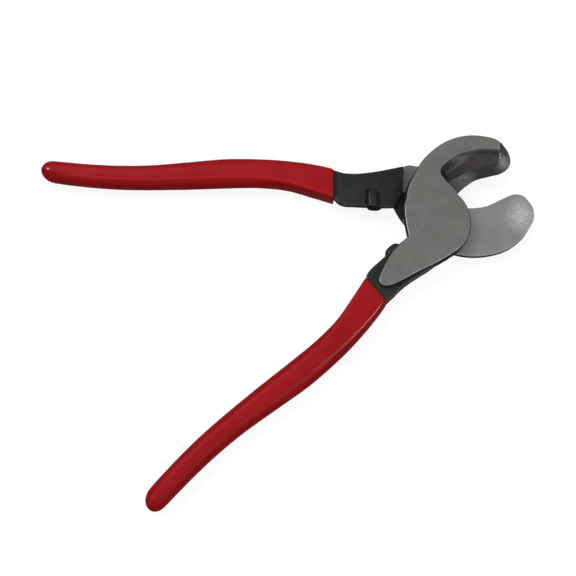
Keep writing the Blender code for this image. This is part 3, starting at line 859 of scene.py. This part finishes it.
class Shader:
    """A Principled material and short ways to add nodes to it."""

    def __init__(self, name, roughness, metallic=0.0, specular=0.5):
        self.material = bpy.data.materials.new(name)
        self.material.use_nodes = True
        self.tree = self.material.node_tree
        self.surface = self.tree.nodes['Principled BSDF']
        self.surface.inputs['Roughness'].default_value = roughness
        self.surface.inputs['Metallic'].default_value = metallic
        self.surface.inputs['Specular IOR Level'].default_value = specular

    def node(self, kind, settings=None, **inputs):
        new = self.tree.nodes.new('ShaderNode' + kind)
        for key, value in (settings or {}).items():
            setattr(new, key, value)
        for key, value in inputs.items():
            socket = new.inputs[int(key[1:])] if key[0] == 'i' and key[1:].isdigit() else new.inputs[key]
            if isinstance(value, bpy.types.NodeSocket):
                self.tree.links.new(value, socket)
            else:
                socket.default_value = value
        return new

    def attribute(self, name, output='Fac'):
        return self.node('Attribute', {'attribute_name': name}).outputs[output]

    def scaled(self, vector, scale):
        """A vector with each part multiplied, to stretch a pattern."""
        return self.node('VectorMath', {'operation': 'MULTIPLY'}, i0=vector, i1=scale).outputs[0]

    def part(self, vector, index):
        return self.node('SeparateXYZ', Vector=vector).outputs[index]

    def noise(self, vector, scale, detail, roughness=0.55):
        pattern = self.node('TexNoise', Vector=vector, Scale=scale, Detail=detail, Roughness=roughness)
        return pattern.outputs['Fac']

    def span(self, value, low, high, to_low=0.0, to_high=1.0):
        return self.node('MapRange', Value=value, **{'From Min': low, 'From Max': high, 'To Min': to_low,
                                                     'To Max': to_high}).outputs['Result']

    def clouds(self, vector, scale, detail, *limits):
        """Noise with its range stretched, as span does."""
        return self.span(self.noise(vector, scale, detail), *limits)

    def mix(self, factor, a, b, blend='MIX'):
        new = self.node('Mix', {'data_type': 'RGBA', 'blend_type': blend})
        for index, value in ((0, factor), (6, a), (7, b)):
            if isinstance(value, bpy.types.NodeSocket):
                self.tree.links.new(value, new.inputs[index])
            else:
                new.inputs[index].default_value = value if index == 0 else (*value, 1.0)
        return new.outputs[2]

    def ramp(self, value, stops):
        """Grey that follows a value through (place, grey) stops, the first at 0 and the last at 1."""
        new = self.node('ValToRGB', Fac=value)
        elements = new.color_ramp.elements
        for place, _ in stops[1:-1]:
            elements.new(place)
        for element, (_, tone) in zip(elements, stops):
            element.color = (tone, tone, tone, 1.0)
        return new.outputs[0]

    def math(self, operation, a, b):
        return self.node('Math', {'operation': operation}, i0=a, i1=b).outputs[0]

    def bump(self, height, distance, strength):
        return self.node('Bump', Height=height, Distance=distance, Strength=strength).outputs[0]

    def finish(self, color, roughness, normal=None):
        for name, value in (('Base Color', color), ('Roughness', roughness), ('Normal', normal)):
            if value is not None:
                self.tree.links.new(value, self.surface.inputs[name])
        return self.material


def grey(value):
    return value, value, value


BEVEL_LENGTH = 44.0
# Painted light and shade of the hook's bevel along its edge, from the throat to the nose: (place, darkest,
# lightest).
BEVEL_LIGHT_AND_SHADE = [(0.0, 0.02, 0.043), (0.22, 0.015, 0.034), (0.34, 0.002, 0.009), (0.56, 0.002, 0.008),
               (0.66, 0.008, 0.033), (0.80, 0.006, 0.06), (1.0, 0.009, 0.06)]


def ground_steel():
    """Surface-ground steel: cloudy tone with faint warm and cool tints, dark specks and fine scratches."""
    low, high, roughness = 0.114, 0.138, 0.42
    s = Shader("ground_steel", roughness, 0.6)
    place = s.attribute('plan', 'Vector')
    tone = s.mix(s.clouds(place, 0.11, 4.0, 0.35, 0.68), (low, low * 1.01, low * 0.95),
                 (high, high * 1.015, high * 0.96))
    warm = s.clouds(s.scaled(place, (1.0, 1.0, 0.5)), 0.07, 2.0, 0.45, 0.65, 0.0, 0.6)
    tone = s.mix(warm, tone, (low * 1.1, low * 1.04, low * 0.93))
    cool = s.clouds(s.scaled(place, (0.9, 1.1, 2.0)), 0.13, 3.0, 0.55, 0.75, 0.0, 0.5)
    tone = s.mix(cool, tone, (low * 0.93, low * 0.88, low * 0.93))
    tone = s.mix(s.clouds(place, 1.9, 4.0, 0.62, 0.8, 0.0, 0.3), tone, grey(low * 0.6))
    scratch = s.clouds(s.scaled(place, (3.4, 0.14, 1.0)), 1.3, 2.0, 0.68, 0.76, 0.0, 0.35)
    tone = s.mix(scratch, tone, grey(high * 1.5))
    lines = s.noise(s.scaled(place, (0.35, 3.2, 1.0)), 1.6, 3.0)
    rough = s.math('ADD', s.clouds(place, 0.5, 3.0, 0.3, 0.7, roughness - 0.06, roughness + 0.08),
                   s.span(lines, 0.3, 0.7, -0.03, 0.03))
    return s.finish(tone, rough, s.bump(lines, 0.00001, 0.35))


def black_oxide(name, shade):
    """Black forging skin: mottled, with painted shade in the groove, a painted highlight line near the edges,
    and painted shade towards the joint.
    """
    s = Shader(name, 0.5, specular=0.22)
    place = s.attribute('plan', 'Vector')
    tone = s.mix(s.clouds(place, 0.22, 4.0, 0.35, 0.7), (0.0065, 0.0059, 0.0055), (0.0135, 0.0124, 0.0113))
    # Painted shade: the groove beside the rib darkened.
    tone = s.mix(s.math('MULTIPLY', s.attribute('groove'), 0.7), tone, grey(0.004))
    # Painted highlight: a light line along the neck's edges.
    edge_highlight = s.math('MULTIPLY', s.attribute('edge_highlight'), s.clouds(place, 0.3, 3.0, 0.35, 0.6, 0.2, 0.9))
    tone = s.mix(edge_highlight, tone, (0.13, 0.125, 0.118))
    # Painted shade: darker towards the joint, by the amount 1 - shade.
    tone = s.mix(s.span(s.part(place, 0), -46.0, -18.0, 0.0, 1.0 - shade), tone, grey(0.0))
    grain = s.noise(place, 2.6, 4.0)
    return s.finish(tone, s.span(grain, 0.3, 0.7, 0.44, 0.6), s.bump(grain, 0.00003, 0.5))


def bevel_steel():
    """Ground bevel: streaks along the edge, blotchy at its inner end, with painted light and shade along it
    that is darkest along its middle.
    """
    s = Shader("bevel_steel", 0.42, 0.6, specular=0.25)
    flow = s.attribute('flow', 'Vector')
    along = s.part(flow, 0)
    streak = s.clouds(s.scaled(flow, (0.10, 1.25, 1.0)), 1.0, 4.0, 0.34, 0.68)
    blotch = s.clouds(s.scaled(flow, (0.9, 0.5, 1.0)), 1.0, 4.0, 0.34, 0.68)
    pattern = s.mix(s.span(along, 9.0, 14.0, 1.0, 0.0), streak, blotch)
    share = s.span(along, 0.0, BEVEL_LENGTH)
    # Painted light and shade: the bevel's tone follows its place along the edge.
    dark, light = (s.ramp(share, [(stop[0], stop[k]) for stop in BEVEL_LIGHT_AND_SHADE]) for k in (1, 2))
    rough = s.span(streak, 0.0, 1.0, 0.36, 0.5)
    return s.finish(s.mix(pattern, dark, light), rough, s.bump(streak, 0.00003, 0.4))


def pocket_steel():
    """Scooped pocket: dull purplish steel with painted shade at its left end, and painted light on its walls
    towards the right, broken by grinding streaks.
    """
    s = Shader("pocket_steel", 0.5, 0.25, specular=0.15)
    place = s.attribute('plan', 'Vector')
    streak = s.clouds(s.scaled(s.attribute('flow', 'Vector'), (0.9, 0.12, 1.0)), 1.0, 3.0, 0.38, 0.65)
    wall = s.span(s.part(place, 2), POCKET_FLOOR + 1.0, POCKET_FLOOR + 3.4)
    right = s.span(s.part(place, 0), 20.0, 32.0)
    tone = s.mix(s.clouds(place, 0.25, 3.0, 0.35, 0.7), (0.037, 0.032, 0.034), (0.048, 0.0425, 0.045))
    # Painted shade: the pocket darker at its left end.
    tone = s.mix(right, (0.022, 0.019, 0.02), tone)
    # Painted light on the walls at the right end, painted shade on them at the left, broken by grinding
    # streaks.
    lit = s.mix(right, (0.006, 0.005, 0.005), (0.17, 0.157, 0.16))
    tone = s.mix(s.math('MULTIPLY', wall, s.span(streak, 0.0, 1.0, 0.5, 1.0)), tone, lit)
    return s.finish(tone, s.span(streak, 0.0, 1.0, 0.58, 0.48))


def blade_steel():
    """Polished blade face: light, with painted highlights in cloudy bright patches near the tip and in a line
    at the rim, and painted shade towards the neck.
    """
    s = Shader("blade_steel", 0.36, 0.6)
    place = s.attribute('plan', 'Vector')
    from_tip = s.node('VectorMath', {'operation': 'DISTANCE'}, i0=s.scaled(place, (1.0, 0.8, 0.0)),
                      i1=(42.8, 2.4, 0.0)).outputs['Value']
    # Painted highlight: cloudy bright patches near the tip.
    tip_highlight = s.math('POWER', s.span(from_tip, 10.0, 1.5), 1.3)
    clouds = s.span(s.noise(s.scaled(place, (1.0, 1.5, 1.0)), 0.8, 5.0, 0.7), 0.38, 0.68)
    base = s.mix(s.clouds(place, 0.1, 3.0, 0.35, 0.65), (0.175, 0.178, 0.18), (0.205, 0.208, 0.208))
    tone = s.mix(tip_highlight, base, s.mix(clouds, (0.29, 0.293, 0.288), (0.52, 0.53, 0.51)))
    # Painted shade: the face darker from x = 8 to x = -8, past the pivot towards the neck, under the other
    # half's plate.
    tone = s.mix(s.span(s.part(place, 0), 8.0, -8.0), tone, (0.115, 0.115, 0.108))
    tone = s.mix(s.clouds(place, 1.3, 4.0, 0.6, 0.75, 0.0, 0.35), tone, grey(0.14))
    # Painted highlight: a bright line along the rim.
    tone = s.mix(s.math('MULTIPLY', s.attribute('rim'), 0.2), tone, grey(0.6))
    rough = s.span(clouds, 0.0, 1.0, 0.44, 0.32)
    return s.finish(tone, rough, s.bump(s.noise(place, 1.4, 3.0), 0.00002, 0.4))


def red_vinyl():
    """Glossy dipped vinyl with a faint orange-peel skin, and a painted highlight along the ridge."""
    s = Shader("red_vinyl", 0.2, specular=0.09)
    place = s.node('TexCoord').outputs['Object']
    tone = s.mix(s.clouds(place, 90.0, 3.0, 0.35, 0.68), (0.22, 0.0033, 0.005), (0.255, 0.0047, 0.007))
    # Painted highlight: lighter along the ridge.
    tone = s.mix(s.attribute('ridge'), tone, (0.33, 0.009, 0.012))
    rough = s.clouds(place, 160.0, 2.0, 0.3, 0.7, 0.2, 0.26)
    return s.finish(tone, rough, s.bump(s.noise(place, 260.0, 1.0), 0.00004, 0.1))


def build_tool():
    ground = ground_steel()
    hook_materials = {
        'ground': ground, 'oxide': black_oxide("black_oxide_hook", 0.9), 'bevel': bevel_steel(),
        'pocket': pocket_steel(), 'blade': blade_steel(),
    }
    # The blade half's copy gets far more painted shade towards the joint than the hook half's.
    blade_materials = {**hook_materials, 'oxide': black_oxide("black_oxide_blade", 0.25)}
    vinyl = red_vinyl()
    hook, blade = HookHalf(), BladeHalf()
    hook.build("hook_half_relief", HOOK_SIDE, hook_materials)
    blade.build("blade_half_relief", BLADE_SIDE, blade_materials)
    # Painted highlight along the ridge: weak on the hook half's grip, full on the blade half's.
    build_grip("hook_half_grip_sleeve", HOOK_SIDE, vinyl, 0.2)
    build_grip("blade_half_grip_sleeve", BLADE_SIDE, vinyl, 1.0)
    build_rivet(BLADE_SIDE, ground)


# Stage, light and camera.

FLOOR_SIZE = 8.0  # metres each way from the tool
FLOOR_DROP = 0.0002  # the floor lies just under the tool
LIGHT_TARGET = (-0.08, -0.01, 0.0)


def build_floor():
    """White floor that lights nothing and isn't reflected."""
    corners = [(x * FLOOR_SIZE, y * FLOOR_SIZE, -FLOOR_DROP) for x, y in ((-1, -1), (1, -1), (1, 1), (-1, 1))]
    mesh = bpy.data.meshes.new("floor")
    mesh.from_pydata(corners, [], [(0, 1, 2, 3)])
    floor = bpy.data.objects.new("floor", mesh)
    bpy.context.scene.collection.objects.link(floor)
    s = Shader("floor_white", 0.9, specular=0.0)
    s.surface.inputs['Base Color'].default_value = (0.13, 0.13, 0.13, 1.0)
    s.surface.inputs['Emission Color'].default_value = (1.0, 1.0, 1.0, 1.0)
    s.surface.inputs['Emission Strength'].default_value = 0.88
    mesh.materials.append(s.material)
    floor.visible_glossy = False
    floor.visible_diffuse = False


def build_world():
    """Soft light from overhead that falls off towards the horizon."""
    world = bpy.data.worlds.new("tent")
    bpy.context.scene.world = world
    world.use_nodes = True
    tree = world.node_tree
    coords = tree.nodes.new('ShaderNodeTexCoord')
    split = tree.nodes.new('ShaderNodeSeparateXYZ')
    ramp = tree.nodes.new('ShaderNodeValToRGB')
    tree.links.new(coords.outputs['Generated'], split.inputs[0])
    tree.links.new(split.outputs[2], ramp.inputs[0])
    tree.links.new(ramp.outputs[0], tree.nodes['Background'].inputs['Color'])
    stops = ramp.color_ramp.elements
    stops[0].position, stops[0].color = 0.0, (0.12, 0.12, 0.12, 1.0)
    stops[1].position, stops[1].color = 0.5, (0.80, 0.80, 0.81, 1.0)
    horizon = stops.new(0.04)
    horizon.color = (0.35, 0.35, 0.35, 1.0)


def add_area(name, place, size, power, diffuse=True, reflected=True):
    """A round soft light that faces the middle of the tool."""
    light = bpy.data.lights.new(name, 'AREA')
    light.shape = 'DISK'
    light.size = size
    light.energy = power
    obj = bpy.data.objects.new(name, light)
    obj.location = place
    obj.rotation_euler = (Vector(LIGHT_TARGET) - Vector(place)).to_track_quat('-Z', 'Y').to_euler()
    obj.visible_camera = False
    obj.visible_diffuse = diffuse
    obj.visible_glossy = reflected
    bpy.context.scene.collection.objects.link(obj)


def build_lights():
    """A key and a fill that light the tool, and two lights that only show as reflections."""
    add_area("key", (-0.32, 0.58, 0.85), 0.8, 7.6, reflected=False)
    add_area("fill", (0.15, -0.85, 0.45), 0.7, 2.4, reflected=False)
    add_area("glint", (-0.81, 0.40, 0.72), 0.06, 14.0, diffuse=False)
    add_area("front", (0.515, -0.626, 0.50), 0.3, 9.5, diffuse=False)


def build_camera():
    """A camera almost overhead, turned so that the handles run to the left and down."""
    look_at = Vector((-0.0799, -0.0123, 0.007))
    back = Vector((-0.0518, -0.2536, 0.9659)).normalized()
    up = Vector((0.3360, 0.9063, 0.2560))
    distance = 0.4821
    up = (up - back * up.dot(back)).normalized()
    right = up.cross(back)
    camera = bpy.data.objects.new("camera", bpy.data.cameras.new("camera"))
    camera.data.lens = 62.5
    camera.data.sensor_width = 36.0
    turn = Matrix((right, up, back)).transposed().to_4x4()
    camera.matrix_world = Matrix.Translation(look_at + back * distance) @ turn
    bpy.context.scene.collection.objects.link(camera)
    bpy.context.scene.camera = camera


build_tool()
build_floor()
build_world()
build_lights()
build_camera()
bpy.context.scene.view_settings.view_transform = 'Standard'
